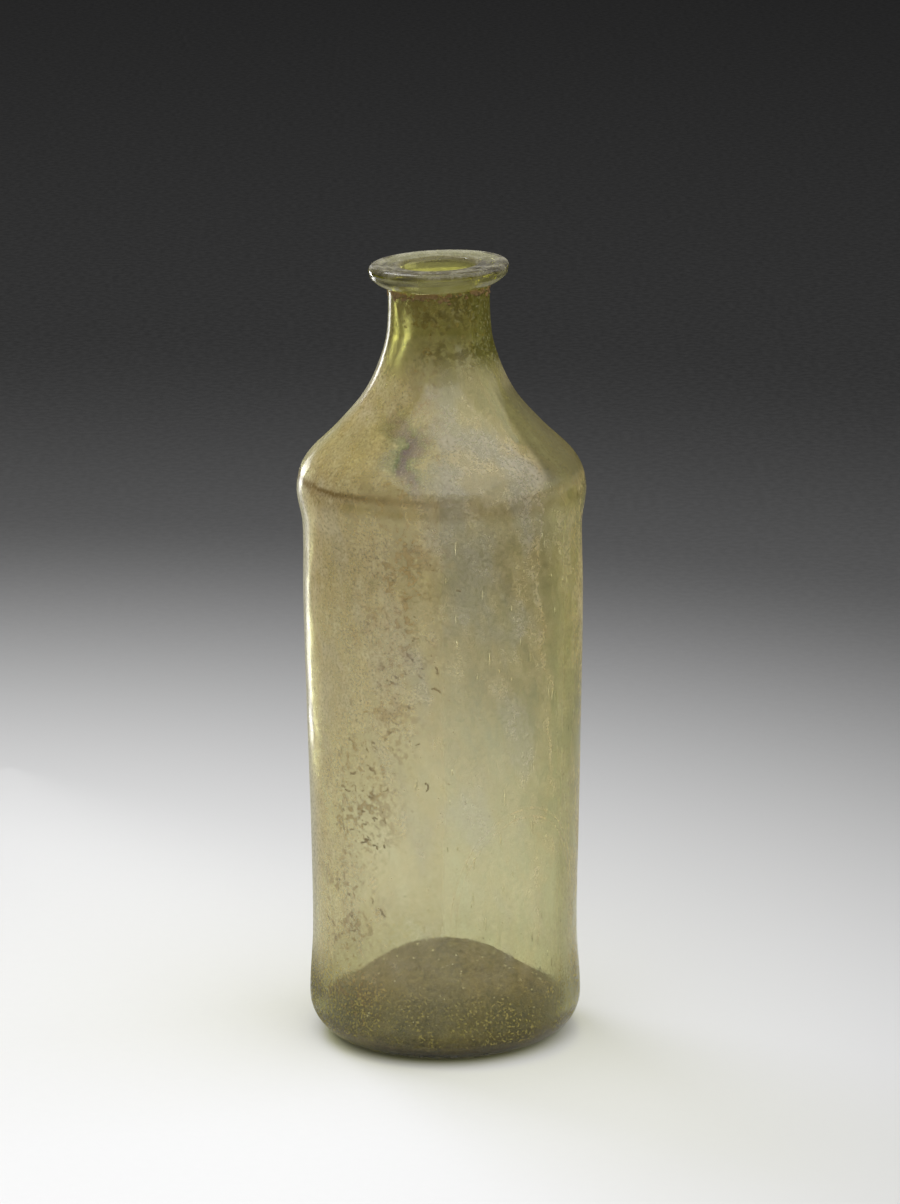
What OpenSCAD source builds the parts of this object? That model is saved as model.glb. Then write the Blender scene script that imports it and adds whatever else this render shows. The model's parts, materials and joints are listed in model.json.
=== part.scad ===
// Free-blown glass bottle, open and unstoppered: a slightly tapering round body on a
// pushed-up base, a conical shoulder, a short neck and a lip laid on as a second piece
// of glass. Dried soil lies on the base inside and in the crevice under the lip.
// Millimetres, +Z up. The origin is on the bottle's axis, on the surface it stands on.

/* [Body] */
// Height of the highest point of the lip
height = 200; // [195:1:210]
// Outer radius at the heel
heel_r = 34.5; // [33.8:0.1:35.2]
// Outer radius at the waist, just above the heel
waist_r = 33.6; // [33:0.1:34]
// Outer radius of the wall, below the shoulder
wall_r = 35.1; // [34.6:0.1:35.6]
// Outer radius of the shoulder's rounded bulge
bulge_r = 36.15; // [35.8:0.05:37]
// Height of the shoulder's rounded bulge
bulge_z = 143; // [136:1:145]
// Thickness of the body wall
wall_t = 1.9; // [1.5:0.1:2.4]

/* [Neck] */
// Outer radius of the neck under the lip
neck_r = 12.6; // [12:0.1:13.5]
// Radius of the straight bore that takes the cork
bore_r = 9; // [8.5:0.1:9.4]
// Length of the straight bore in the neck
bore_length = 12; // [10:0.5:14]

/* [Base] */
// Radius of the rounding between the wall and the standing ring
heel_round = 10; // [9:0.1:10.5]
// Width of the worn flat ring that the bottle stands on
rest_w = 1.8; // [1:0.1:3]
// Height of the hollow under the base
kick_h = 18; // [14:0.5:19]
// Thickness of the glass at the top of the pushed-up base
kick_t = 3.6; // [3:0.1:4.5]
// Thickness of the glass at the bottom of the moat round the base
floor_t = 3.3; // [2.8:0.1:4.4]

/* [Lip] */
// Outer radius of the lip
lip_r = 17.6; // [16.5:0.1:18.5]
// Height of the lip above the cut end of the neck
lip_h = 5.7; // [5.4:0.1:6.2]
// Thickness of the lip's rounded edge
lip_edge = 2.8; // [2.4:0.1:3]
// Tilt of the lip, down towards -X, in degrees
lip_tilt = 1.9; // [0:0.1:3]

/* [Deposits] */
// Height of the dried soil over the middle of the base
bed_h = 22.8; // [22.4:0.1:24]
// Number of sand grains lying on the soil
grain_count = 44; // [10:1:60]
// Number of soil flakes on the inside of the wall
flake_count = 34; // [10:1:48]

/* [Hidden] */
$fn = 64;

GOLDEN_ANGLE = 137.508;
ROUND_STEPS = 8;
OUTLINE_STEP = 3;

// The heel's round meets the standing ring and the wall tangentially
heel_z = heel_round;
rest_out = heel_r - heel_round;
rest_in = rest_out - rest_w;

// Under the base: a small round inside the standing ring, then a dome up to kick_h
foot_round = 1.3;
foot_angle = 206;
under_r = rest_in + foot_round * cos(foot_angle);
under_z = foot_round * (1 + sin(foot_angle));
dome_power = 2.6;

// Inside: the moat between the dome and the wall
heel_t = 2.8;
moat_round = 4;
moat_x = heel_r - heel_t - moat_round;
moat_z = floor_t + moat_round;
moat_start = 212;
bed_edge_angle = 345;
dome_r = moat_x + moat_round * cos(moat_start);
dome_z = moat_z + moat_round * sin(moat_start);

// Where the neck was cut, the lip begins
lip_round = lip_edge / 2;
lip_seat_z = height - lip_round
    - (lip_h - lip_round) * cos(lip_tilt) - (lip_r - lip_round) * sin(lip_tilt);
bore_bottom_z = lip_seat_z - bore_length;

// Outer outline from heel to neck, as [radius, height]
OUTSIDE = [[heel_r, heel_z],
           [waist_r, 27],
           [(waist_r + wall_r) / 2 - 0.35, 56],
           [wall_r, bulge_z - 27],
           [wall_r - 0.1, bulge_z - 9],
           [bulge_r, bulge_z],
           [bulge_r - 2.3, bulge_z + 7],
           [bulge_r - 10.2, bulge_z + 15],
           [neck_r + 6.5, bulge_z + 23],
           [neck_r + 2.3, bulge_z + 31.5],
           [neck_r + 0.2, bulge_z + 40],
           [neck_r, height]];

// Slope dr/dz of an outline at station i; the two ends stand upright
function slope(s, i) =
    i == 0 || i == len(s) - 1 ? 0 : (s[i + 1][0] - s[i - 1][0]) / (s[i + 1][1] - s[i - 1][1]);

// Index of the last station at or below height z
function station(s, z, i = 0) =
    i >= len(s) - 2 || z < s[i + 1][1] ? i : station(s, z, i + 1);

// Radius of a smooth outline through the stations s, at height z
function radius_at(s, z) =
    let (i = station(s, z),
         h = s[i + 1][1] - s[i][1],
         t = (z - s[i][1]) / h,
         bend = t * t * (3 - 2 * t))
    s[i][0] * (1 - bend) + s[i + 1][0] * bend
    + h * slope(s, i) * t * (1 - t) * (1 - t)
    - h * slope(s, i + 1) * t * t * (1 - t);

function outer_r(z) = radius_at(OUTSIDE, z);

neck_t = outer_r(bore_bottom_z) - bore_r;

// Thickness of the glass beside the outer outline: thicker at the heel and up the neck
function glass_t(z) =
    wall_t
    + 0.9 * pow(max(0, 1 - (z - heel_z) / 16), 2)
    + (neck_t - wall_t) * pow(min(1, max(0, (z - bulge_z) / (bore_bottom_z - bulge_z))), 2);

// Point of the inner surface, square to the outer outline at height z
function inner_point(z) =
    let (run = 0.05,
         s = (outer_r(z + run) - outer_r(z - run)) / (2 * run),
         k = glass_t(z) / sqrt(1 + s * s))
    [outer_r(z) - k, z + k * s];

function arc(x, z, r, from, to, steps = ROUND_STEPS) =
    [for (i = [0:steps]) let (a = from + (to - from) * i / steps) [x + r * cos(a), z + r * sin(a)]];

// Curved dome from its top on the axis down to its edge, as outline points
function dome(top, edge_r, edge_z, steps = 12) =
    [for (i = [0:steps])
        let (r = edge_r * i / steps)
        [r, edge_z + (top - edge_z) * (1 - pow(i / steps, dome_power))]];

function reversed(list) = [for (i = [len(list) - 1:-1:0]) list[i]];

under_dome = dome(kick_h, under_r, under_z);
inner_dome = dome(kick_h + kick_t, dome_r, dome_z);
moat_to_bed_edge = arc(moat_x, moat_z, moat_round, moat_start, bed_edge_angle);
moat_to_wall = arc(moat_x, moat_z, moat_round, bed_edge_angle, 360, 3);

outside_line = [for (z = [heel_z:OUTLINE_STEP:lip_seat_z - 1]) [outer_r(z), z]];
inside_line = [for (z = [heel_z + 6:OUTLINE_STEP:height]) let (p = inner_point(z))
               if (p[1] < bore_bottom_z - 1) p];

// One bubble of glass: standing ring, heel, wall, shoulder and neck, with the base pushed in.
// Its top is cut square to the tilted lip.
module blown_body() {
    color([0.62, 0.62, 0.40, 0.45])
    difference() {
        rotate_extrude()
        polygon(concat(
            under_dome,
            arc(rest_in, foot_round, foot_round, foot_angle, 270, 4),
            arc(rest_out, heel_round, heel_round, 270, 354),
            outside_line,
            [[neck_r, height], [bore_r, height], [bore_r, bore_bottom_z]],
            reversed(inside_line),
            reversed(moat_to_wall),
            reversed(moat_to_bed_edge),
            reversed(inner_dome)));
        in_lip_frame() translate([0, 0, lip_h]) cube([4 * lip_r, 4 * lip_r, 2 * lip_h], center = true);
    }
}

// Places children on the cut end of the neck, leaning with the lip
module in_lip_frame() {
    translate([0, 0, lip_seat_z]) rotate([0, -lip_tilt, 0]) children();
}

lip_bore_r = bore_r + 0.2;
lip_land = neck_r + 0.1;

// Under the lip: one long round, from where it leaves the neck out to the edge
lip_cove = 8.1;
lip_cove_start = -76;
lip_edge_start = -38;

// Flanged lip: a bowl-shaped underside, a rounded edge, and a flat top with two folds
module applied_lip() {
    color([0.60, 0.60, 0.36, 0.5])
    in_lip_frame()
    rotate_extrude()
    polygon(concat(
        [[lip_bore_r, 0]],
        arc(lip_land - lip_cove * cos(lip_cove_start), -lip_cove * sin(lip_cove_start),
            lip_cove, lip_cove_start, lip_edge_start),
        arc(lip_r - lip_round, lip_h - lip_round, lip_round, lip_edge_start, 90),
        [[lip_r - 3, lip_h - 0.15], [lip_r - 3.6, lip_h - 0.35],
         [lip_r - 4.3, lip_h - 0.15], [lip_r - 5.3, lip_h - 0.4]],
        arc(lip_bore_r + 1.1, lip_h - 1.6, 1.1, 80, 180)));
}

// Ring of glass left under the base by the iron that held the bottle while the lip was made
module pontil_scar() {
    ring = [for (i = [4:6]) under_dome[i]];
    color([0.55, 0.57, 0.38, 0.6])
    rotate_extrude()
    polygon(concat(
        ring,
        [[ring[2][0] - 0.3, ring[2][1] - 0.9], [ring[1][0] - 0.1, ring[1][1] - 1.6],
         [ring[0][0] + 0.5, ring[0][1] - 0.8]]));
}

bed_edge = moat_to_bed_edge[ROUND_STEPS];
bed_fall = 2.4;

// Top of the soil at radius r: a cosine hump that runs out against the wall of the moat
function bed_top(r) =
    bed_edge[1] + (bed_h - bed_edge[1])
    * (cos(bed_fall * r) - cos(bed_fall * bed_edge[0])) / (1 - cos(bed_fall * bed_edge[0]));

// Dried soil: a skin over the dome and a wedge that fills the moat
module residue_bed() {
    color([0.45, 0.41, 0.28])
    rotate_extrude()
    polygon(concat(
        reversed(inner_dome),
        [for (i = [0:15]) let (r = bed_edge[0] * i / 16) [r, bed_top(r)]],
        reversed(moat_to_bed_edge)));
}

// Sand grains, half sunk in the soil, spread by the golden angle
module sand_grains() {
    color([0.75, 0.70, 0.55])
    for (i = [1:grain_count]) {
        r = (bed_edge[0] - 3) * sqrt(i / grain_count);
        grain_r = 0.35 + 0.3 * abs(sin(71 * i));
        rotate([0, 0, GOLDEN_ANGLE * i])
        translate([r, 0, bed_top(r) + 0.1])
        sphere(r = grain_r);
    }
}

// Soil packed in the crevice where the lip's cone leaves the neck
module lip_dirt_ring() {
    dirt_drop = 1.3;
    color([0.40, 0.28, 0.14])
    difference() {
        in_lip_frame()
        rotate_extrude()
        polygon([[neck_r - 0.3, -dirt_drop], [neck_r + 0.35, -dirt_drop * 0.7],
                 [lip_land, -0.05], [neck_r - 0.3, -0.05]]);
        rotate_extrude()
        polygon(concat([[0, bore_bottom_z]],
                       [for (p = outside_line) if (p[1] > bore_bottom_z) p],
                       [[neck_r, height], [0, height]]));
    }
}

// Thin flakes of soil on the inside of the wall, in a band that climbs the -X side
module wall_flakes() {
    flake_t = 0.3;
    color([0.42, 0.36, 0.20])
    for (i = [0:flake_count - 1]) {
        climb = i / flake_count;
        z = 30 + 104 * climb;
        side = 208 + 40 * climb + 26 * sin(GOLDEN_ANGLE * i);
        flake_r = 0.6 + 0.8 * abs(sin(53 * i));
        rotate([0, 0, side])
        translate([outer_r(z) - glass_t(z) - flake_t, 0, z])
        rotate([0, 90, 0])
        cylinder(h = flake_t + 0.03, r = flake_r);
    }
}

blown_body();
applied_lip();
pontil_scar();
residue_bed();
sand_grains();
lip_dirt_ring();
wall_flakes();
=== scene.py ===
"""Looks of the antique glass bottle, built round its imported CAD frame.

Mesh outlines and material patterns are in millimetres; objects are placed in metres, in the frame.
Angles round the bottle are degrees from the front (-Y), positive towards +X, the viewer's right.
"""

import json
import math
import random
from types import SimpleNamespace

import bmesh
import bpy
from mathutils import Euler, Matrix, Vector, noise


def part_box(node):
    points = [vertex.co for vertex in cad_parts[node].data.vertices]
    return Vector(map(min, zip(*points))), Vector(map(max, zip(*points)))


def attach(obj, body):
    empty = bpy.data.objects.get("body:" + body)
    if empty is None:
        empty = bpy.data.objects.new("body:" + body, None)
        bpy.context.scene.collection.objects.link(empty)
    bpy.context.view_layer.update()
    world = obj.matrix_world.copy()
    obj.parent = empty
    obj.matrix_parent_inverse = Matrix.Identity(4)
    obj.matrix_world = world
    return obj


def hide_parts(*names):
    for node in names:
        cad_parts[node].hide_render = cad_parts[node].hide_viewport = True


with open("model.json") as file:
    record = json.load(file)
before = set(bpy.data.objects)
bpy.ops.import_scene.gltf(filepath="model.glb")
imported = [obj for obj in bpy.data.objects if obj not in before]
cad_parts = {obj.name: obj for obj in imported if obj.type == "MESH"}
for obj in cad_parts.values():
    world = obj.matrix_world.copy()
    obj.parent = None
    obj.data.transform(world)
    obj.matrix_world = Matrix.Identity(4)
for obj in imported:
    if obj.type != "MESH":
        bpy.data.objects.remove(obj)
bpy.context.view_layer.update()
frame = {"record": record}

MM = 0.001
SPIN = 192
ROW = 1.2


# ---------------------------------------------------------------- sizes from the frame
def mount(name):
    return next(m for m in frame["record"]["mounts"] if m["name"] == name)


mouth = mount("mouth")
BORE_R = mouth["dims"]["r_mm"]
SEAT_Z = mouth["pos_m"][2] / MM + mouth["dims"]["length_mm"] / 2
LIP_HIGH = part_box("applied_lip")[1] / MM
LIP_R = LIP_HIGH.x
TILT = math.radians(1.9)
BED_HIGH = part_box("residue_bed")[1] / MM
BULGE_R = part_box("blown_body")[1].x / MM
BULGE_Z = 143

# Outer outline of the blown body from heel to neck, as the CAD has it: (radius, height)
OUTSIDE = [(34.5, 10), (33.6, 27), (34.0, 56), (35.1, 116), (35.0, 134), (BULGE_R, BULGE_Z),
           (BULGE_R - 2.3, 150), (BULGE_R - 10.2, 158), (19.1, 166), (14.9, 174.5),
           (12.8, 183), (12.6, 200)]
HEEL_ROUND = 10
HEEL_EXTRA_T, HEEL_FADE = 0.9, 16
REST_OUT = 24.5
REST_IN = 22.7
FOOT_ROUND = 1.3
KICK_TOP = 18
KICK_T = 3.6
DOME_POWER = 2.6
DOME_STEPS = 26
MOAT_ROUND = 4
MOAT_X, MOAT_Z = 27.7, 7.3
WALL_T = 1.9
BORE_BOTTOM = SEAT_Z - mouth["dims"]["length_mm"]
RIM_ROUND = 1.4
MOUTH_ROUND = 1.3


# ---------------------------------------------------------------- outlines
def clamp(value, low=0.0, high=1.0):
    return max(low, min(high, value))


def smooth(value, low, high):
    t = clamp((value - low) / (high - low))
    return t * t * (3 - 2 * t)


def slope(i):
    """Change of radius with height at a point of the outline, level at its two ends."""
    if i in (0, len(OUTSIDE) - 1):
        return 0
    (r0, z0), (r1, z1) = OUTSIDE[i - 1], OUTSIDE[i + 1]
    return (r1 - r0) / (z1 - z0)


def outer_r(z):
    """Radius of the smooth outer outline at height z."""
    i = max(k for k in range(len(OUTSIDE) - 1) if k == 0 or z >= OUTSIDE[k][1])
    (ra, za), (rb, zb) = OUTSIDE[i], OUTSIDE[i + 1]
    h = zb - za
    t = (z - za) / h
    bend = t * t * (3 - 2 * t)
    return (ra * (1 - bend) + rb * bend
            + h * slope(i) * t * (1 - t) ** 2 - h * slope(i + 1) * t * t * (1 - t))


NECK_T = outer_r(BORE_BOTTOM) - BORE_R


def glass_t(z):
    """Thickness of the wall, more at the heel and up the neck."""
    heel = HEEL_EXTRA_T * max(0, 1 - (z - HEEL_ROUND) / HEEL_FADE) ** 2
    neck = (NECK_T - WALL_T) * clamp((z - BULGE_Z) / (BORE_BOTTOM - BULGE_Z)) ** 2
    return WALL_T + heel + neck


def inner_point(z):
    """Point of the inner surface, square to the outer outline at height z."""
    s = (outer_r(z + 0.05) - outer_r(z - 0.05)) / 0.1
    k = glass_t(z) / math.sqrt(1 + s * s)
    return outer_r(z) - k, z + k * s


def arc(x, z, r, start, end, steps):
    """Points of a circle's arc about (x, z), angles in degrees."""
    angles = [math.radians(start + (end - start) * i / steps) for i in range(steps + 1)]
    return [(x + r * math.cos(a), z + r * math.sin(a)) for a in angles]


def dome(top, edge_r, edge_z):
    """The pushed-up base, from its middle out to an edge point."""
    shares = [i / DOME_STEPS for i in range(DOME_STEPS + 1)]
    return [(edge_r * s, edge_z + (top - edge_z) * (1 - s ** DOME_POWER)) for s in shares]


def steps_between(low, high, step):
    """Evenly spaced values from low to high, about step apart."""
    count = max(1, round((high - low) / step))
    return [low + (high - low) * i / count for i in range(count + 1)]


FOOT = arc(REST_IN, FOOT_ROUND, FOOT_ROUND, 206, 270, 5)
MOAT = arc(MOAT_X, MOAT_Z, MOAT_ROUND, 212, 360, 16)


def body_outside():
    """From the middle underneath, round the foot and the heel, up to the lip's seat."""
    under = dome(KICK_TOP, *FOOT[0])
    heel = arc(REST_OUT, HEEL_ROUND, HEEL_ROUND, 270, 360, 14)
    wall = [(outer_r(z), z) for z in steps_between(HEEL_ROUND + ROW, SEAT_Z, ROW)]
    return under[:-1] + FOOT + heel + wall


def body_inside():
    """From the top of the bore down to the middle of the pushed-up base."""
    wall = [inner_point(z) for z in steps_between(HEEL_ROUND + 4, BORE_BOTTOM, ROW)]
    wall = [p for p in wall if MOAT_Z + 0.8 < p[1] < BORE_BOTTOM - 0.5]
    bore = [(BORE_R, z) for z in steps_between(BORE_BOTTOM, SEAT_Z, 1.5)]
    kick = dome(KICK_TOP + KICK_T, *MOAT[0])
    return (kick[:-1] + MOAT + wall + bore)[::-1]


def lip_outline():
    """Closed outline of the lip, from its seat on the neck round to the bore."""
    r, top = LIP_R, LIP_HIGH.z - SEAT_Z - (LIP_R - RIM_ROUND) * math.sin(TILT)
    cove = arc(10.74, 7.85, 8.1, -76, -38, 12)
    edge = arc(r - RIM_ROUND, top - RIM_ROUND, RIM_ROUND, -38, 90, 12)
    folds = [(r - 2.2, top - 0.03), (r - 2.8, top - 0.16), (r - 3.3, top - 0.34),
             (r - 3.7, top - 0.3), (r - 4.2, top - 0.12), (r - 4.8, top - 0.2),
             (r - 5.3, top - 0.42), (r - 5.8, top - 0.36), (r - 6.4, top - 0.34)]
    mouth_edge = arc(BORE_R + MOUTH_ROUND, top - 0.4 - MOUTH_ROUND, MOUTH_ROUND, 82, 180, 9)
    bore = [(BORE_R, z) for z in (2.6, 1.2)]
    neck_r = OUTSIDE[-1][0]
    return [(BORE_R, 0), (neck_r, 0)] + cove[1:] + edge + folds + mouth_edge + bore + [(BORE_R, 0)]


# ---------------------------------------------------------------- hand-blown unevenness
def wobble(theta, z, size, along, seed, detail=1):
    """Smooth noise round and along the bottle, -1 to 1. size is the wavelength round it, in mm."""
    wall_r = 34
    k = wall_r / size
    where = Vector((k * math.cos(theta), k * math.sin(theta), z / along + 31.7 * seed))
    return noise.fractal(where, 1.0, 2.0, detail) if detail > 1 else noise.noise(where)


def tilt_share(z):
    """The neck takes up the lip's tilt gradually."""
    return smooth(z, 180, SEAT_Z)


def bow(z):
    """The wall stands a little to the right of the base and the neck."""
    return 0.4 * smooth(z, 15, 80) * (1 - smooth(z, 120, 165))


def outside_point(theta, r, z):
    """The outer surface: a little uneven and oval, but true where the bottle stands."""
    fade = smooth(z, 0, 6)
    soft = 0.16 * wobble(theta, z, 34, 46, 1) + 0.05 * wobble(theta, z, 9, 26, 2)
    oval = 0.15 * math.cos(2 * theta + 0.6)
    r = r + fade * (soft + oval) * clamp(r / 20)
    x, y = r * math.cos(theta) + bow(z), r * math.sin(theta)
    return x, y, z + x * math.tan(TILT) * tilt_share(z)


def inside_point(theta, r, z):
    """The inner surface waves more than the outer one, and has dents inside the neck."""
    soft = 0.22 * wobble(theta, z, 22, 30, 3) + 0.08 * wobble(theta, z, 7, 14, 4)
    dent = 0.14 * wobble(theta, z, 26, 7, 14, 2) * smooth(z, 165, 182)
    calm = 1 - 0.8 * smooth(z, 170, 180)
    r = r + soft * clamp(r / 20) * calm + dent
    x, y = r * math.cos(theta) + bow(z), r * math.sin(theta)
    return x, y, z + x * math.tan(TILT) * tilt_share(z)


def lip_point(theta, r, z):
    """Seat ring stays true to the neck; the edge is uneven and hangs a little on the left."""
    free = smooth(z, 0.3, 3) * smooth(r, BORE_R, 13)
    r = r + free * (0.10 * wobble(theta, z, 18, 20, 5) + 0.08 * math.cos(2 * theta + 1))
    z = z + free * 0.07 * wobble(theta, z, 14, 20, 6)
    x, y = r * math.cos(theta), r * math.sin(theta)
    return x, y, SEAT_Z + z + x * math.tan(TILT)


# ---------------------------------------------------------------- meshes
SIDE = "side"
OUTSIDE_FACE, INSIDE, FUSED = 0, 1, 2


def finish_mesh(name, verts, faces, material, sides=None):
    """Makes an object of points in mm; sides gives each face its surface's number."""
    mesh = bpy.data.meshes.new(name)
    mesh.from_pydata([Vector(v) * MM for v in verts], [], faces)
    mesh.materials.append(material)
    if sides:
        mesh.attributes.new(SIDE, "FLOAT", "FACE").data.foreach_set("value", sides)
    mesh.polygons.foreach_set("use_smooth", [True] * len(mesh.polygons))
    mesh.update()
    obj = bpy.data.objects.new(name, mesh)
    bpy.context.scene.collection.objects.link(obj)
    return obj


def revolve(name, outline, material, steps=SPIN):
    """Spins an outline of (radius, height, place, side) round the axis into one mesh.
    place(theta, r, z) puts a point, and side says which surface the faces after it are."""
    verts, rows = [], []
    for r, z, place, _ in outline:
        start = len(verts)
        if r == 0:
            verts.append(place(0, 0, z))
            rows.append([start] * steps)
        else:
            verts += [place(2 * math.pi * k / steps, r, z) for k in range(steps)]
            rows.append(list(range(start, start + steps)))
    faces, sides = [], []
    for low, high, (_, _, _, side) in zip(rows, rows[1:], outline):
        for k in range(steps):
            n = (k + 1) % steps
            corners = list(dict.fromkeys([low[k], low[n], high[n], high[k]]))
            if len(corners) > 2:
                faces.append(corners)
                sides.append(side)
    return finish_mesh(name, verts, faces, material, sides)


def weld(obj, distance=0.00001):
    """Joins the first and last rows of a closed outline."""
    bm = bmesh.new()
    bm.from_mesh(obj.data)
    bmesh.ops.remove_doubles(bm, verts=bm.verts, dist=distance)
    bm.to_mesh(obj.data)
    bm.free()


def ball(radius_x, radius_y, radius_z, rings=5, sides=8):
    """Points and faces of a small closed ellipsoid round the origin."""
    verts = [Vector((0, 0, radius_z))]
    for i in range(1, rings):
        a = math.pi * i / rings
        for k in range(sides):
            b = 2 * math.pi * k / sides
            verts.append(Vector((radius_x * math.sin(a) * math.cos(b),
                                 radius_y * math.sin(a) * math.sin(b), radius_z * math.cos(a))))
    verts.append(Vector((0, 0, -radius_z)))
    faces = [[0, 1 + k, 1 + (k + 1) % sides] for k in range(sides)]
    for i in range(rings - 2):
        for k in range(sides):
            a, b = 1 + i * sides + k, 1 + i * sides + (k + 1) % sides
            faces.append([a, a + sides, b + sides, b])
    base = 1 + (rings - 2) * sides
    end = len(verts) - 1
    faces += [[end, base + (k + 1) % sides, base + k] for k in range(sides)]
    return verts, faces


def scatter(name, bits, material, flip=False):
    """One mesh of many small closed bits, each (verts, faces, matrix)."""
    verts, faces = [], []
    for bit_verts, bit_faces, matrix in bits:
        start = len(verts)
        verts += [matrix @ v for v in bit_verts]
        for face in bit_faces:
            ids = [start + i for i in face]
            faces.append(ids[::-1] if flip else ids)
    return finish_mesh(name, verts, faces, material)


def on_wall(angle, z, depth):
    """Frame on the wall at an angle from the front: local X goes round, Y up, Z outward.
    depth is measured inwards from the outer surface."""
    theta = math.radians(angle - 90)
    x, y, zz = outside_point(theta, outer_r(z) - depth, z)
    out = Vector((math.cos(theta), math.sin(theta), 0))
    up = Vector((0, 0, 1))
    across = up.cross(out)
    matrix = Matrix((across, up, out)).transposed().to_4x4()
    matrix.translation = Vector((x, y, zz))
    return matrix


# ---------------------------------------------------------------- material helpers
class Shader:
    """A material's node tree, with short calls for the nodes used here. Lengths are mm."""

    def __init__(self, name):
        self.material = bpy.data.materials.new(name)
        self.material.use_nodes = True
        self.tree = self.material.node_tree
        self.tree.nodes.clear()
        self.output = self.tree.nodes.new("ShaderNodeOutputMaterial")
        coords = self.tree.nodes.new("ShaderNodeTexCoord")
        scaled = self.node("ShaderNodeVectorMath", {0: coords.outputs["Object"]},
                           operation="SCALE")
        scaled.inputs["Scale"].default_value = 1 / MM
        self.place = scaled.outputs[0]
        split = self.node("ShaderNodeSeparateXYZ", {0: self.place})
        self.x, self.y, self.z = split.outputs
        turn = self.math("ARCTAN2", self.x, self.math("MULTIPLY", self.y, -1))
        self.angle = self.math("MULTIPLY", turn, 180 / math.pi)

    def node(self, kind, inputs=None, **settings):
        n = self.tree.nodes.new(kind)
        for key, value in settings.items():
            setattr(n, key, value)
        for key, value in (inputs or {}).items():
            if isinstance(value, bpy.types.NodeSocket):
                self.tree.links.new(value, n.inputs[key])
            else:
                n.inputs[key].default_value = value
        return n

    def math(self, operation, a, b=0.0, c=0.0):
        return self.node("ShaderNodeMath", {0: a, 1: b, 2: c}, operation=operation).outputs[0]

    def add(self, *values):
        total = values[0]
        for value in values[1:]:
            total = self.math("ADD", total, value)
        return total

    def times(self, a, b):
        return self.math("MULTIPLY", a, b)

    def swing(self, pattern, amount):
        """A noise measured from its middle value, times amount."""
        return self.times(self.add(pattern, -0.5), amount)

    def most(self, *values):
        """The greatest of the values."""
        greatest = values[0]
        for value in values[1:]:
            greatest = self.math("MAXIMUM", greatest, value)
        return greatest

    def either(self, share, a, b):
        """a where share is 0, b where it is 1."""
        return self.add(a, self.times(share, self.math("SUBTRACT", b, a)))

    def band(self, value, low, high, out_low=0.0, out_high=1.0):
        """Smooth step of value from out_low at low to out_high at high."""
        n = self.node("ShaderNodeMapRange", {0: value, 1: low, 2: high, 3: out_low, 4: out_high},
                      interpolation_type="SMOOTHSTEP")
        return n.outputs[0]

    def ridge(self, value, centre, width):
        """1 where value is centre, falling smoothly to 0 at width away."""
        away = self.math("ABSOLUTE", self.math("SUBTRACT", value, centre))
        return self.band(away, 0, width, 1, 0)

    def noise(self, size, detail=3.0, stretch=(1, 1, 1), rough=0.55, shift=0.0, warp=0.0,
              lean=0.0):
        """Noise about 0.5 with features of about size mm, longer along an axis by its stretch.
        lean tips the long axis over to the left at its top, in degrees."""
        where = self.node("ShaderNodeMapping", {0: self.place, 1: (shift, shift, shift),
                                                2: (0, -math.radians(lean), 0), 3: stretch},
                          vector_type="TEXTURE")
        n = self.node("ShaderNodeTexNoise", {"Vector": where.outputs[0], "Scale": 1 / size,
                                             "Detail": detail, "Roughness": rough,
                                             "Distortion": warp})
        return n.outputs["Fac"]

    def ramp(self, value, stops):
        n = self.node("ShaderNodeValToRGB", {0: value})
        ramp = n.color_ramp
        while len(ramp.elements) < len(stops):
            ramp.elements.new(0.5)
        for element, (at, colour) in zip(ramp.elements, stops):
            element.position = at
            element.color = (*colour, 1)
        return n.outputs[0]

    def blend(self, share, a, b, how="MIX"):
        n = self.node("ShaderNodeMix", {0: share}, data_type="RGBA", blend_type=how)
        for socket, value in ((n.inputs[6], a), (n.inputs[7], b)):
            if isinstance(value, bpy.types.NodeSocket):
                self.tree.links.new(value, socket)
            else:
                socket.default_value = (*value, 1)
        return n.outputs[2]

    def facing(self):
        """0 where the surface is seen square on, 1 where it is seen edge on."""
        return self.node("ShaderNodeLayerWeight", {"Blend": 0.5}).outputs["Facing"]

    def slanting(self, share):
        """A thin layer hides more of what is behind it the more aslant it is seen."""
        square_on = self.math("MAXIMUM", self.math("SUBTRACT", 1, self.facing()), 0.16)
        clear = self.math("POWER", self.math("SUBTRACT", 1, share),
                          self.math("DIVIDE", 1, square_on))
        return self.math("SUBTRACT", 1, clear)

    def mixed(self, share, a, b):
        n = self.node("ShaderNodeMixShader", {0: share, 1: a, 2: b})
        return n.outputs[0]

    def bump(self, height, distance_mm, strength=1.0):
        n = self.node("ShaderNodeBump", {"Height": height, "Distance": distance_mm * MM,
                                         "Strength": strength})
        return n.outputs[0]

    def principled(self, **inputs):
        named = {key.replace("_", " "): value for key, value in inputs.items()}
        return self.node("ShaderNodeBsdfPrincipled", named).outputs[0]

    def surface(self, shader):
        self.tree.links.new(shader, self.output.inputs["Surface"])
        return self.material


# ---------------------------------------------------------------- glass
GLASS_TINT = (0.720, 0.716, 0.20)
GLASS_DENSITY = 255
SHADOW_TINT = (0.97, 0.97, 1.0, 1)


def lets_light_through(s, shader, tint=SHADOW_TINT):
    """Light passes straight through on its way to what is inside, so no caustic noise."""
    path = s.node("ShaderNodeLightPath")
    clear = s.node("ShaderNodeBsdfTransparent", {"Color": tint}).outputs[0]
    lamps = s.mixed(path.outputs["Is Shadow Ray"], shader, clear)
    return s.mixed(path.outputs["Is Diffuse Ray"], lamps, clear)


def absorb(s):
    """The glass's own tint, which deepens with its thickness."""
    volume = s.node("ShaderNodeVolumeAbsorption",
                    {"Color": (*GLASS_TINT, 1), "Density": GLASS_DENSITY})
    s.tree.links.new(volume.outputs[0], s.output.inputs["Volume"])


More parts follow.
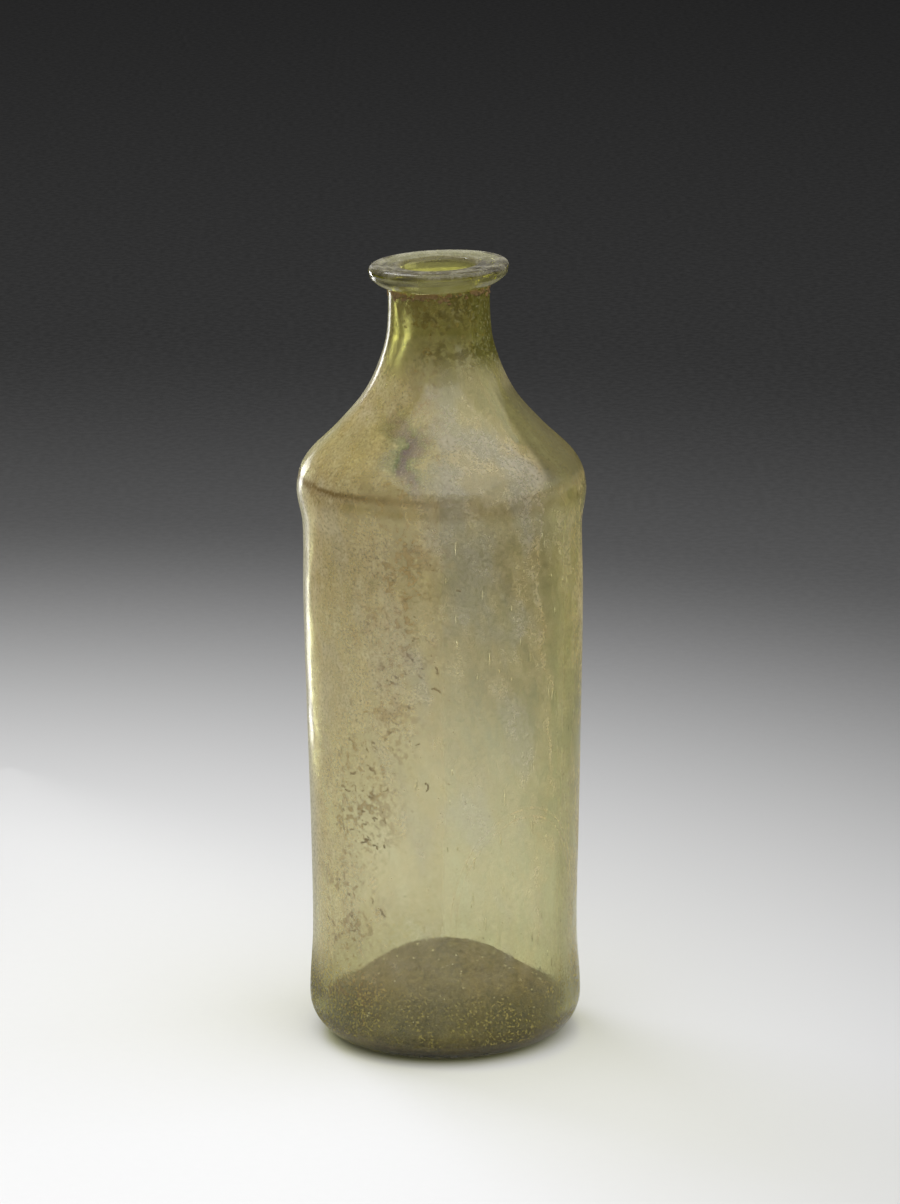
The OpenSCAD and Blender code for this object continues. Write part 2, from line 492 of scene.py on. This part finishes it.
def clear_glass(s, roughness, normal):
    return s.principled(Base_Color=(1, 1, 1, 1), Roughness=roughness, IOR=1.5,
                        Transmission_Weight=1.0, Normal=normal)


def film(s, colour, normal):
    """Dull layer on the glass that scatters light both ways."""
    front = s.node("ShaderNodeBsdfDiffuse", {"Color": colour, "Normal": normal}).outputs[0]
    through = s.node("ShaderNodeBsdfTranslucent", {"Color": colour, "Normal": normal}).outputs[0]
    return s.mixed(0.5, front, through)


def fused(s, shader, seam):
    """Where lip and neck melted together there is no surface to see: light goes straight on."""
    clear = s.node("ShaderNodeBsdfTransparent").outputs[0]
    return s.mixed(seam, shader, clear)


def wall_patterns(s):
    """Noises that both faces of the wall share, from the widest to the finest."""
    return SimpleNamespace(broad=s.noise(30, 3, (1, 1, 1.6), shift=3),
                           cloud=s.noise(13, 3, (1, 1, 2.2), shift=33, lean=18),
                           mottle=s.noise(4.5, 4, (1, 1, 1.3), shift=11),
                           streaks=s.noise(3.2, 3, (1, 1, 6), shift=41, lean=14),
                           fine=s.noise(1.5, 4, shift=5),
                           grain=s.noise(0.8, 3, rough=0.65, shift=23))


def outer_zones(s, p):
    """Places on the outside that look different, each from 0 to 1."""
    wander = s.swing(s.noise(20, 3, (1, 1, 1.2), shift=57), 60)
    edge_angle = s.add(s.angle, wander)
    specks = s.add(s.times(p.fine, 0.55), s.times(p.mottle, 0.45))
    return SimpleNamespace(
        past_edge=s.band(edge_angle, 46, 50),
        edge=s.ridge(edge_angle, 46, 2.4),
        olive=s.band(edge_angle, 44, 50),
        neck=s.band(s.z, 170, 182),
        neck_right=s.times(s.band(s.z, 168, 178), s.band(s.angle, 15, 50)),
        neck_dirt=s.times(s.band(specks, 0.45, 0.56),
                          s.times(s.band(s.z, 170, 180), s.band(s.angle, -45, -5, 0.1, 1))),
        left_shoulder=s.times(s.ridge(s.z, 156, 14), s.band(s.angle, -22, -48)),
        # painted shade: more, darker film on the right of the shoulder stands in for the shade there
        painted_shade_right_shoulder=s.times(s.times(s.band(s.z, 144, 149), s.band(s.z, 176, 166)),
                               s.band(s.add(s.angle, s.times(p.cloud, 8)), 49, 57)),
        left_bulge=s.times(s.ridge(s.z, 147, 5), s.ridge(s.angle, -85, 26)),
        # crease under the bulge: partly brown stain, partly painted shade
        crease_stain_and_shade=s.times(s.ridge(s.add(s.z, s.swing(p.mottle, 3)), 146.3, 1.5),
                       s.add(0.25, s.times(s.ridge(s.angle, -48, 55), 0.75))),
        shine=s.times(s.ridge(s.add(s.z, s.swing(p.cloud, 20)), 156.5, 13),
                      s.ridge(s.add(s.angle, s.swing(p.broad, 60)), -20, 36)),
        dusty=s.times(s.band(s.add(s.z, s.times(p.mottle, 10)), 33, 16), s.band(s.z, 3, 6)))


def worn_lines(s):
    """Two thin arcs worn low on the right, and a ring line round the foot of the neck."""
    mm_per_degree = 0.6
    across = s.math("DIVIDE", s.add(s.times(s.angle, mm_per_degree), -22), 19)
    up = s.math("DIVIDE", s.add(s.z, -36), 28)
    away = s.math("SQRT", s.add(s.times(across, across), s.times(up, up)))
    arcs = s.times(s.most(s.ridge(away, 1, 0.022), s.ridge(away, 1.075, 0.02)),
                   s.band(s.z, 32, 44))
    ring = s.times(s.ridge(s.add(s.z, s.times(s.x, 0.05)), 175.5, 0.35), s.ridge(s.angle, 15, 45))
    return s.add(s.times(ring, 0.12), s.times(arcs, 0.13))


def film_share(s, p, zone, dust):
    """How much of the glass the film outside hides: more on the body than on the neck and past a
    wavy edge at the right. The extra film on the right of the shoulder is painted shade, and in
    the crease under the bulge it is partly stain and partly painted shade."""
    cover = s.add(s.band(s.angle, -60, 50, 0.27, 0.15),
                  s.band(s.z, 75, 30, 0, -0.06),
                  s.band(s.z, 80, 130, 0, 0.055),
                  s.swing(p.broad, 0.24),
                  s.swing(p.cloud, 0.45),
                  s.swing(p.mottle, 0.45),
                  s.swing(p.grain, 0.35),
                  s.swing(p.streaks, 0.25),
                  s.times(zone.left_bulge, -0.25),
                  s.times(zone.past_edge, -0.07),
                  s.times(zone.edge, 0.07),
                  # painted shade on the right of the shoulder
                  s.times(zone.painted_shade_right_shoulder, 0.28),
                  s.times(s.band(s.z, 22, 7), -0.18),
                  worn_lines(s))
    return s.add(s.times(cover, s.band(s.z, 166, 180, 1, 0.6)),
                 s.times(zone.shine, 0.30),
                 s.times(zone.neck_dirt, 0.45),
                 s.times(zone.neck_right, 0.22),
                 # film in the crease: partly stain, partly painted shade under the bulge
                 s.times(zone.crease_stain_and_shade, 0.28),
                 s.times(zone.dusty, s.band(dust, 0.42, 0.60, 0.04, 0.40)))


def film_colour(s, p, zone, dust):
    """Tan and grey film, olive at the right, with an iridescent patch and darker dirt; it also holds
    painted shade on the right of the shoulder, partly painted shade in the crease under the
    bulge, and a painted highlight along the left edge.
    """
    tan = s.ramp(p.mottle, [(0.25, (0.71, 0.49, 0.24)), (0.5, (0.83, 0.63, 0.38)),
                            (0.75, (0.92, 0.79, 0.57))])
    drift = s.add(s.swing(s.noise(9, 4, shift=71), 1.5),
                  s.times(s.add(s.angle, 19), 0.02), s.times(s.add(s.z, -158.5), 0.03))
    rainbow = s.ramp(s.add(s.math("ABSOLUTE", drift), s.times(p.fine, 0.2)),
                     [(0.0, (0.17, 0.10, 0.17)), (0.18, (0.15, 0.11, 0.14)),
                      (0.28, (0.12, 0.17, 0.07)), (0.42, (0.34, 0.36, 0.18)),
                      (0.6, (0.85, 0.72, 0.36))])
    dust_colour = s.ramp(dust, [(0.42, (0.02, 0.016, 0.006)), (0.51, (0.13, 0.105, 0.030)),
                                (0.61, (0.60, 0.52, 0.20))])
    grey_share = s.times(s.band(p.cloud, 0.47, 0.62), s.band(s.angle, -30, -5, 0.35, 0.9))
    # painted highlight: the film is paler where the left side is seen edge on
    painted_edge_highlight = s.times(s.band(s.facing(), 0.55, 0.9, 0, 0.85), s.band(s.angle, 20, -20))
    colour = s.blend(grey_share, tan, (0.66, 0.59, 0.57))
    colour = s.blend(s.times(zone.olive, 0.6), colour, (0.62, 0.51, 0.28))
    colour = s.blend(zone.shine, colour, rainbow)
    colour = s.blend(s.times(zone.neck, 0.75), colour, (0.42, 0.37, 0.11))
    colour = s.blend(zone.neck_dirt, colour, (0.12, 0.095, 0.03))
    # painted highlight along the left edge
    colour = s.blend(painted_edge_highlight, colour, (0.74, 0.73, 0.64))
    colour = s.blend(zone.left_shoulder, colour, (0.76, 0.74, 0.52), "MULTIPLY")
    colour = s.blend(s.times(zone.neck_right, 0.8), colour, (0.11, 0.11, 0.022))
    # dark brown in the crease: partly stain, partly painted shade under the bulge
    colour = s.blend(zone.crease_stain_and_shade, colour, (0.26, 0.17, 0.065))
    colour = s.blend(s.band(p.grain, 0.52, 0.30, 0, 0.55), colour, (0.22, 0.16, 0.06))
    colour = s.blend(s.band(p.grain, 0.52, 0.74, 0, 0.4), colour, (0.90, 0.85, 0.66))
    # painted shade: near-black film colour on the right of the shoulder
    colour = s.blend(s.times(zone.painted_shade_right_shoulder, 0.85), colour, (0.11, 0.098, 0.04))
    # Soil dust clings low down, where the soil lies against the wall
    colour = s.blend(s.band(s.z, 32, 14, 0, 0.75), colour, (0.80, 0.74, 0.36), "MULTIPLY")
    return s.blend(zone.dusty, colour, dust_colour)


def inner_stain(s, p):
    """Inside: haze, with soil stain in a band that climbs the left side and in the neck, and in the
    crease under the shoulder a stain that is partly painted shade. Gives how much of the glass it
    hides, its colour and its relief."""
    blotch = s.noise(7, 4, (1, 1, 1.5), shift=19, warp=0.6)
    curls = s.ridge(s.noise(3.4, 3, (1, 1, 1.4), shift=27, warp=1.5, lean=25), 0.5, 0.035)
    specks = s.band(s.add(s.times(p.fine, 0.5), s.times(blotch, 0.5)), 0.52, 0.58)
    dots = s.band(s.noise(0.9, 2, shift=63), 0.70, 0.74)
    side_band = s.ridge(s.add(s.angle, s.band(s.z, 30, 134, 50, 18)), 0, 34)
    bits = s.most(specks, s.times(curls, s.band(p.fine, 0.47, 0.56)))
    # the crease under the shoulder is partly stain and partly painted shade of the bulge
    crease_z = s.add(s.z, s.swing(p.broad, 4))
    crease_stain_and_shade = s.times(s.ridge(crease_z, 143.2, 4.6), s.band(blotch, 0.3, 0.55, 0.7, 1))
    crease_line_stain_and_shade = s.times(s.ridge(crease_z, 145.4, 1.8),
                          s.band(s.add(s.angle, s.times(blotch, 60)), 40, -20, 0.25, 1))
    dirty_neck = s.times(specks, s.band(s.z, 172, 188))
    stain = s.most(s.times(s.times(side_band, bits), 0.55), s.times(crease_stain_and_shade, 0.16),
                   s.times(crease_line_stain_and_shade, 0.6), s.times(dirty_neck, 0.5), s.times(dots, 0.45))
    share = s.add(0.08, s.swing(blotch, 0.16), stain, s.times(side_band, 0.03),
                  s.band(s.z, 182, 190, 0, 0.25))

    haze = s.ramp(blotch, [(0.35, (0.52, 0.44, 0.24)), (0.65, (0.70, 0.64, 0.42))])
    brown = s.ramp(p.fine, [(0.35, (0.20, 0.13, 0.06)), (0.65, (0.42, 0.29, 0.15))])
    colour = s.blend(s.band(stain, 0.02, 0.2), haze, brown)
    colour = s.blend(s.band(s.z, 180, 188, 0, 0.8), colour, (0.20, 0.17, 0.07))
    return share, colour, s.add(s.times(blotch, 0.7), s.times(p.fine, 0.3))


def body_glass():
    """One material for both sides of the wall, so that the tint follows the glass's thickness."""
    s = Shader("glass_weathered")
    side = s.node("ShaderNodeAttribute", attribute_name=SIDE).outputs["Fac"]
    inner = s.ridge(side, INSIDE, 0.5)
    seam = s.ridge(side, FUSED, 0.5)
    p = wall_patterns(s)
    zone = outer_zones(s, p)
    dust = s.noise(0.7, 3, rough=0.7, shift=83)
    outer_share = film_share(s, p, zone, dust)
    outer_colour = film_colour(s, p, zone, dust)
    inner_share, inner_colour, inner_height = inner_stain(s, p)

    share = s.math("MINIMUM", s.most(s.either(inner, outer_share, inner_share), 0.01), 0.9)
    share = s.slanting(share)
    colour = s.blend(inner, outer_colour, inner_colour)
    outer_height = s.add(s.times(p.streaks, 0.5), s.times(p.mottle, 0.35), s.times(p.grain, 0.15))
    normal = s.bump(s.either(inner, outer_height, inner_height), 0.07, 0.5)
    inner_rough = s.add(0.05, s.band(s.z, 140, 150, 0, 0.17), s.band(s.angle, 45, 65, 0, 0.25))
    rough = s.either(inner, s.band(share, 0.05, 0.35, 0.04, 0.12), inner_rough)
    skin = s.mixed(share, clear_glass(s, rough, normal), film(s, colour, normal))
    absorb(s)
    # Where soil lies against the glass, the inner surface doesn't show
    soiled = s.times(inner, s.band(s.z, 9, 7))
    return s.surface(fused(s, lets_light_through(s, skin), s.most(seam, soiled)))


def lip_glass():
    s = Shader("glass_lip")
    seam = s.ridge(s.node("ShaderNodeAttribute", attribute_name=SIDE).outputs["Fac"], FUSED, 0.5)
    patch = s.noise(4, 4, shift=7)
    fine = s.noise(0.8, 3, shift=13)
    worn = s.add(s.times(patch, 0.65), s.times(fine, 0.35))
    radius = s.math("SQRT", s.add(s.times(s.x, s.x), s.times(s.y, s.y)))
    rim_z = s.add(s.z, s.times(s.x, -math.tan(TILT)), -SEAT_Z)
    top = s.band(s.z, SEAT_Z + 3.9, SEAT_Z + 5.2)
    bore = s.band(radius, BORE_R + 2.2, BORE_R + 0.5)
    # painted reflection: a near-black band on the rim's front left stands in for a dark reflection
    painted_dark_reflection = s.times(s.ridge(rim_z, 2.7, 1.6), s.ridge(s.angle, -48, 34))

    edge_share = s.band(worn, 0.38, 0.64, 0.06, 0.24)
    top_share = s.band(worn, 0.36, 0.62, 0.26, 0.58)
    share = s.add(s.either(top, edge_share, top_share), s.times(bore, 0.3),
                  s.times(painted_dark_reflection, 0.65))
    edge_colour = s.ramp(patch, [(0.35, (0.50, 0.43, 0.16)), (0.65, (0.62, 0.58, 0.36))])
    top_colour = s.ramp(worn, [(0.38, (0.20, 0.17, 0.11)), (0.5, (0.34, 0.31, 0.25)),
                               (0.62, (0.56, 0.53, 0.44))])
    colour = s.blend(top, edge_colour, top_colour)
    colour = s.blend(s.times(bore, 0.85), colour, (0.25, 0.22, 0.11))
    # painted dark reflection on the rim
    colour = s.blend(s.times(painted_dark_reflection, 0.97), colour, (0.02, 0.02, 0.014))
    normal = s.bump(worn, 0.12, 0.5)
    skin = s.mixed(share, clear_glass(s, 0.06, normal), film(s, colour, normal))
    absorb(s)
    return s.surface(fused(s, lets_light_through(s, skin), seam))


def rough_glass():
    """Chipped glass where the pontil iron broke away."""
    s = Shader("glass_broken")
    chips = s.noise(1.2, 4, shift=3)
    normal = s.bump(chips, 0.35, 0.9)
    colour = s.ramp(chips, [(0.35, (0.30, 0.31, 0.16)), (0.65, (0.52, 0.54, 0.33))])
    share = s.band(chips, 0.4, 0.65, 0.25, 0.7)
    skin = s.mixed(share, clear_glass(s, 0.12, normal), film(s, colour, normal))
    absorb(s)
    return s.surface(lets_light_through(s, skin))


def bubble_air():
    """The inward-facing skin of an air bubble in the glass."""
    s = Shader("bubble_wall")
    normal = s.bump(s.noise(0.4, 2), 0.01, 0.3)
    return s.surface(lets_light_through(s, clear_glass(s, 0.0, normal), (0.96, 0.96, 0.9, 1)))


# ---------------------------------------------------------------- soil
def soil(name, dark, light, speck, size=1.0, shift=0.0, right_low_tint=None):
    """Crumbly soil with pale specks, tinted darker and yellower low down and to the right when a tint
    is given.
    """
    s = Shader(name)
    broad = s.noise(9 * size, 3, shift=shift + 2)
    crumbs = s.noise(1.3 * size, 5, rough=0.7, shift=shift + 9)
    fine = s.noise(0.35 * size, 3, shift=shift + 17)
    mix = s.add(s.times(broad, 0.25), s.times(crumbs, 0.4), s.times(fine, 0.35))
    colour = s.ramp(mix, [(0.41, dark), (0.60, light)])
    colour = s.blend(s.band(fine, 0.66, 0.74), colour, speck)
    if right_low_tint:
        # darker and yellower towards the lower right
        low = s.add(s.x, s.times(s.z, -2.2), s.times(broad, 30))
        colour = s.blend(s.band(low, -30, 25), colour, right_low_tint, "MULTIPLY")
    normal = s.bump(s.add(s.times(crumbs, 0.7), s.times(fine, 0.3)), 0.5 * size, 0.8)
    rough = s.band(crumbs, 0.3, 0.7, 0.95, 0.75)
    return s.surface(s.principled(Base_Color=colour, Roughness=rough, Normal=normal))


def quartz():
    s = Shader("sand_grain")
    tone = s.noise(2.5, 2, shift=5)
    colour = s.ramp(tone, [(0.35, (0.55, 0.46, 0.28)), (0.5, (0.80, 0.74, 0.55)),
                           (0.65, (0.95, 0.93, 0.84))])
    rough = s.band(tone, 0.3, 0.7, 0.25, 0.5)
    return s.surface(s.principled(Base_Color=colour, Roughness=rough))


# ---------------------------------------------------------------- pieces
def blown_body():
    """Outside and inside of the bubble as one closed mesh, which the lip's seat completes."""
    outline = [(r, z, outside_point, OUTSIDE_FACE) for r, z in body_outside()]
    inside = [(r, z, inside_point, INSIDE) for r, z in body_inside()]
    outline[-1] = (*outline[-1][:3], FUSED)
    obj = revolve("blown_body_glass", outline + inside, body_glass())
    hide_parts("blown_body")
    return obj


def applied_lip():
    """The flange, laid round the cut end of the neck."""
    outline = [(r, z, lip_point, OUTSIDE_FACE) for r, z in lip_outline()]
    outline[0] = (*outline[0][:3], FUSED)
    obj = revolve("applied_lip_glass", outline, lip_glass())
    weld(obj)
    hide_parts("applied_lip")
    return obj


def bed_top(r):
    """Height of the soil at radius r: a low hill that meets the wall in the moat."""
    edge_r, edge_z = BED_HIGH.x, MOAT_Z + MOAT_ROUND * math.sin(math.radians(-15))
    fall = math.radians(2.4)
    end = math.cos(fall * edge_r)
    return edge_z + (BED_HIGH.z - edge_z) * (math.cos(fall * r) - end) / (1 - end)


def bed_point(theta, r, z):
    """The soil's lumpy top, which evens out where it meets the wall."""
    rough = 0.35 * wobble(theta, r, 12, 6, 8, 3) + 0.16 * wobble(theta, r, 2.5, 1.6, 9, 2)
    lump = 0.9 * math.exp(-((r - 20) / 5) ** 2) * wobble(theta, 0, 26, 9, 10)
    x, y = r * math.cos(theta), r * math.sin(theta)
    return x, y, z + (rough + lump) * clamp((31 - r) / 4)


def bed_floor_point(theta, r, z):
    """Sunk a hair into the glass, so that soil and glass don't share a surface."""
    x, y, zz = inside_point(theta, r, z)
    return x * 1.001, y * 1.001, zz - 0.06


def residue_bed():
    """The soil as one closed mesh: its underside follows the glass."""
    rows = 90
    edge = BED_HIGH.x
    top = [(edge * i / rows, bed_top(edge * i / rows), bed_point, 0) for i in range(rows)]
    floor = dome(KICK_TOP + KICK_T, *MOAT[0])[:-1] + [p for p in MOAT if p[0] <= edge + 0.05]
    under = [(r, z, bed_floor_point, 0) for r, z in floor]
    material = soil("dried_soil", (0.016, 0.012, 0.004), (0.17, 0.136, 0.056), (0.42, 0.36, 0.19),
                    right_low_tint=(0.55, 0.47, 0.10))
    obj = revolve("residue_crust", under + top[::-1], material, 160)
    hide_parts("residue_bed")
    return obj


def lumpy(verts, rng, amount):
    """Bits of soil and sand are never smooth: each point moves in or out a little."""
    return [v * (1 + rng.uniform(-amount, amount)) for v in verts]


def sand_grains():
    """Bright grains lying on the soil."""
    rng = random.Random(7)
    bits = []
    for _ in range(170):
        r = 29 * math.sqrt(rng.random())
        theta = rng.uniform(0, 2 * math.pi)
        size = rng.choice((0.10, 0.12, 0.14, 0.18, 0.27))
        verts, faces = ball(size, size * rng.uniform(0.7, 1), size * rng.uniform(0.6, 1), 4, 6)
        matrix = Euler([rng.uniform(0, 6.28) for _ in range(3)]).to_matrix().to_4x4()
        matrix.translation = Vector(bed_point(theta, r, bed_top(r) + 0.4 * size))
        bits.append((lumpy(verts, rng, 0.2), faces, matrix))
    obj = scatter("sand_grains_loose", bits, quartz())
    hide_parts("sand_grains")
    return obj


def flake(rng, width, tall, thick):
    """A flat bit with a ragged edge."""
    sides = 9
    verts, faces = ball(width, tall, thick, 5, sides)
    edge = [rng.uniform(0.6, 1.3) for _ in range(sides)]
    shaped = []
    for i, v in enumerate(verts):
        k = edge[(i - 1) % sides] if 0 < i < len(verts) - 1 else 1
        shaped.append(Vector((v.x * k, v.y * k, v.z)))
    return shaped, faces


def wall_flakes():
    """Ragged curls of soil, each a short wandering row of lumps lying on the inside of the wall."""
    rng = random.Random(19)
    degrees_per_mm = 1.8
    bits = []
    for _ in range(150):
        z = rng.uniform(26, 138)
        angle = rng.gauss(-48 + 30 * smooth(z, 30, 134), 11)
        heading = rng.uniform(-1.2, 0.4)
        size = rng.choice((0.14, 0.18, 0.24, 0.32))
        stride = 1.6 * size
        for _ in range(rng.randint(1, 5)):
            verts, faces = flake(rng, size * rng.uniform(0.8, 1.5), size * rng.uniform(0.7, 1.3), 0.1)
            matrix = on_wall(angle, z, glass_t(z) + 0.02) @ Matrix.Rotation(heading, 4, "Z")
            bits.append((verts, faces, matrix))
            angle += stride * math.cos(heading) * degrees_per_mm
            z += stride * math.sin(heading)
            heading += rng.uniform(-0.9, 0.9)
    material = soil("soil_flake", (0.08, 0.055, 0.025), (0.24, 0.17, 0.08), (0.40, 0.31, 0.17),
                    size=0.6, shift=30)
    obj = scatter("wall_flakes_soil", bits, material)
    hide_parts("wall_flakes")
    return obj


def lip_dirt():
    """Crumbs packed in the crevice under the lip."""
    rng = random.Random(5)
    bits = []
    for _ in range(120):
        angle = rng.uniform(-180, 180)
        z = SEAT_Z - 0.25 - abs(rng.gauss(0, 0.9))
        size = rng.uniform(0.25, 0.75)
        verts, faces = flake(rng, size * 1.4, size, 0.22)
        matrix = on_wall(angle, z, -0.02)
        matrix.translation.z += matrix.translation.x * math.tan(TILT) * (1 - tilt_share(z))
        bits.append((verts, faces, matrix))
    material = soil("lip_dirt_soil", (0.10, 0.06, 0.02), (0.30, 0.19, 0.08), (0.4, 0.3, 0.15),
                    size=0.5, shift=50)
    obj = scatter("lip_dirt_crumbs", bits, material)
    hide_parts("lip_dirt_ring")
    return obj


def pontil_scar():
    """A jagged ring of glass under the middle of the pushed-up base."""
    half_width, half_height, sides = 1.5, 0.8, 12
    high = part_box("pontil_scar")[1] / MM
    middle = high.x - 1.8
    turns = [2 * math.pi * i / sides for i in range(sides + 1)]
    outline = [(middle + half_width * math.cos(a), half_height * math.sin(a)) for a in turns]

    def place(theta, r, z):
        jag = 0.5 * wobble(theta, z, 5, 3, 12, 3) + 0.3 * wobble(theta, z, 2, 2, 13, 2)
        seat = KICK_TOP - (KICK_TOP - FOOT[0][1]) * (r / FOOT[0][0]) ** DOME_POWER
        drop = max(0, -z) * (1 + jag)
        x, y = r * math.cos(theta), r * math.sin(theta)
        return x, y, seat - 0.2 - drop * 1.4 + max(0, z) * 0.15

    obj = revolve("pontil_scar_glass", [(r, z, place, 0) for r, z in outline[::-1]],
                  rough_glass(), 128)
    weld(obj)
    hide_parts("pontil_scar")
    return obj


def trapped_bubbles():
    """Air bubbles drawn out along the wall, most of them at the right of the front."""
    rng = random.Random(11)
    bits = []
    for _ in range(90):
        z = rng.uniform(22, 136)
        angle = rng.choice((rng.uniform(0, 75), rng.uniform(0, 75), rng.uniform(-180, 180)))
        long = rng.choice((0.5, 0.8, 1.2, 1.8))
        verts, faces = ball(0.16, long, 0.13, 8, 8)
        matrix = on_wall(angle, z, glass_t(z) * rng.uniform(0.3, 0.7))
        matrix = matrix @ Matrix.Rotation(rng.gauss(0, 0.06), 4, "Z")
        bits.append((verts, faces, matrix))
    obj = scatter("trapped_bubbles", bits, bubble_air(), flip=True)
    return obj


for piece in (blown_body(), applied_lip(), residue_bed(), sand_grains(), wall_flakes(),
              lip_dirt(), pontil_scar(), trapped_bubbles()):
    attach(piece, "root")


# ---------------------------------------------------------------- floor, light and camera
def floor():
    """Pale sweep with a painted pool of light round the bottle, fading to painted dark far away on
    every side.
    """
    half_side = 6
    fade_centre = (-200, -100, 0)
    s = Shader("pale_sweep")
    offset = s.node("ShaderNodeVectorMath", {0: s.place, 1: fade_centre}, operation="SUBTRACT")
    length = s.node("ShaderNodeVectorMath", {0: offset.outputs[0]}, operation="LENGTH")
    away = length.outputs["Value"]
    # painted light: pale near the fade centre and darker farther away
    tone = s.add(0.03, s.band(away, 140, 680, 0.56, 0), s.band(away, 0, 1020, 0.17, 0))
    grain = s.noise(3, 3)
    colour = s.blend(s.band(grain, 0.3, 0.7, 0, 0.02), tone, (0.5, 0.5, 0.5))
    mesh = bpy.data.meshes.new("sweep")
    corners = [(-1, -1), (1, -1), (1, 1), (-1, 1)]
    mesh.from_pydata([(x * half_side, y * half_side, 0) for x, y in corners], [], [[0, 1, 2, 3]])
    mesh.materials.append(s.surface(s.principled(Base_Color=colour, Roughness=0.9,
                                                 Specular_IOR_Level=0.0)))
    obj = bpy.data.objects.new("sweep", mesh)
    bpy.context.scene.collection.objects.link(obj)


def softbox(name, place, target, width, height, power, spread=180):
    """A rectangular lamp aimed at a target, in metres and watts."""
    light = bpy.data.lights.new(name, "AREA")
    light.shape = "RECTANGLE"
    light.size, light.size_y = width, height
    light.energy = power
    light.spread = math.radians(spread)
    obj = bpy.data.objects.new(name, light)
    obj.location = place
    obj.rotation_euler = (Vector(target) - Vector(place)).to_track_quat("-Z", "Y").to_euler()
    bpy.context.scene.collection.objects.link(obj)


def lights():
    """Soft light from above and the right, a key and a strip behind, a card that edges the left."""
    softbox("back_strip", (-0.62, 2.3, 0.62), (0, 0, 0.2), 0.5, 1.0, 1.0)
    softbox("edge_card", (-0.155, 0.225, 0.095), (0, 0, 0.095), 0.06, 0.19, 0.04, 60)
    softbox("key", (-0.7, 0.9, 1.5), (0, 0, 0), 0.7, 0.7, 11.5)
    softbox("side", (1.0, -0.55, 0.9), (0, -0.55, 0.9), 2.1, 1.0, 7)
    softbox("overhead", (0.12, -0.6, 1.35), (0.12, -0.601, 0), 1.75, 2.0, 21)
    world = bpy.data.worlds.new("studio")
    world.use_nodes = True
    world.node_tree.nodes["Background"].inputs["Color"].default_value = (0.28, 0.28, 0.285, 1)
    bpy.context.scene.world = world


def camera():
    """Above the lip, looking down, with a long lens and a slight roll."""
    away, above, aim_z, aim_x = 1.287, 0.443, 0.1124, 0.0021
    roll = math.radians(-0.5)
    data = bpy.data.cameras.new("camera")
    data.lens = 157.7
    data.sensor_width = 36
    data.clip_end = 30
    obj = bpy.data.objects.new("camera", data)
    obj.location = (aim_x, -away, above)
    look = Vector((aim_x, 0, aim_z)) - obj.location
    obj.matrix_world = (Matrix.Translation(obj.location)
                        @ look.to_track_quat("-Z", "Y").to_matrix().to_4x4()
                        @ Matrix.Rotation(roll, 4, "Z"))
    bpy.context.scene.collection.objects.link(obj)
    bpy.context.scene.camera = obj


floor()
lights()
camera()

scene = bpy.context.scene
scene.view_settings.view_transform = "Standard"
scene.cycles.max_bounces = 24
scene.cycles.transmission_bounces = 20
scene.cycles.transparent_max_bounces = 24
scene.cycles.use_denoising = True
